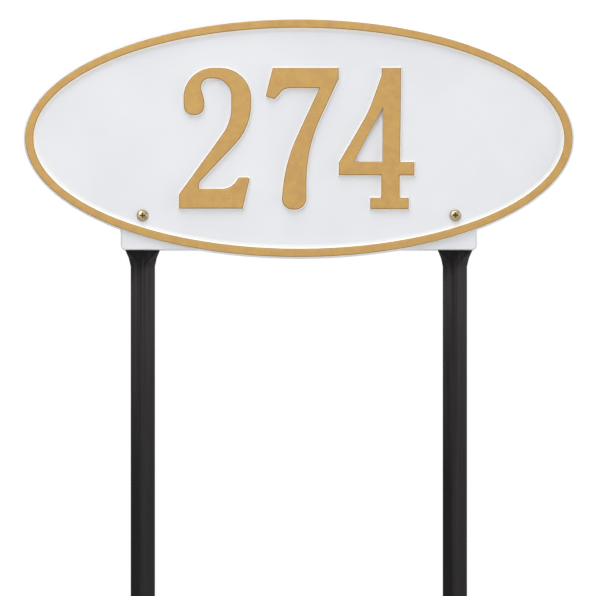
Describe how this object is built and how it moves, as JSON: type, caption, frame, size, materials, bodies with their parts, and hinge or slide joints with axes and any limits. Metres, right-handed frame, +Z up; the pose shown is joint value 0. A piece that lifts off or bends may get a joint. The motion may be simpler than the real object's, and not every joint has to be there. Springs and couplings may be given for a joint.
{
  "type": "house number plaque",
  "caption": "Oval cast-aluminium house number plaque with raised rim and digits, bolted to two V-section steel ground stakes.",
  "frame": {"origin": "on the ground line, midway between the two stakes, in the plane of the casting's back", "axes": "+Z up along the stakes, front of the plaque faces -Y, +X to the reader's right"},
  "size_m": [0.397, 0.0159, 0.5865],
  "materials": {
    "casting": "sand-cast aluminium, white enamel with a fine cast grain, gold enamel on the rim's and digits' tops",
    "stake": "pressed steel strip, black satin powder coat",
    "screw": "brass, bright machined",
    "hidden_hardware": "zinc-plated steel"
  },
  "bodies": {
    "root": {"plaque": "casting", "stake_left": "stake", "stake_right": "stake", "screw_left": "screw", "screw_right": "screw", "lock_washer_left": "hidden_hardware", "lock_washer_right": "hidden_hardware", "nut_left": "hidden_hardware", "nut_right": "hidden_hardware"}
  },
  "joints": []
}
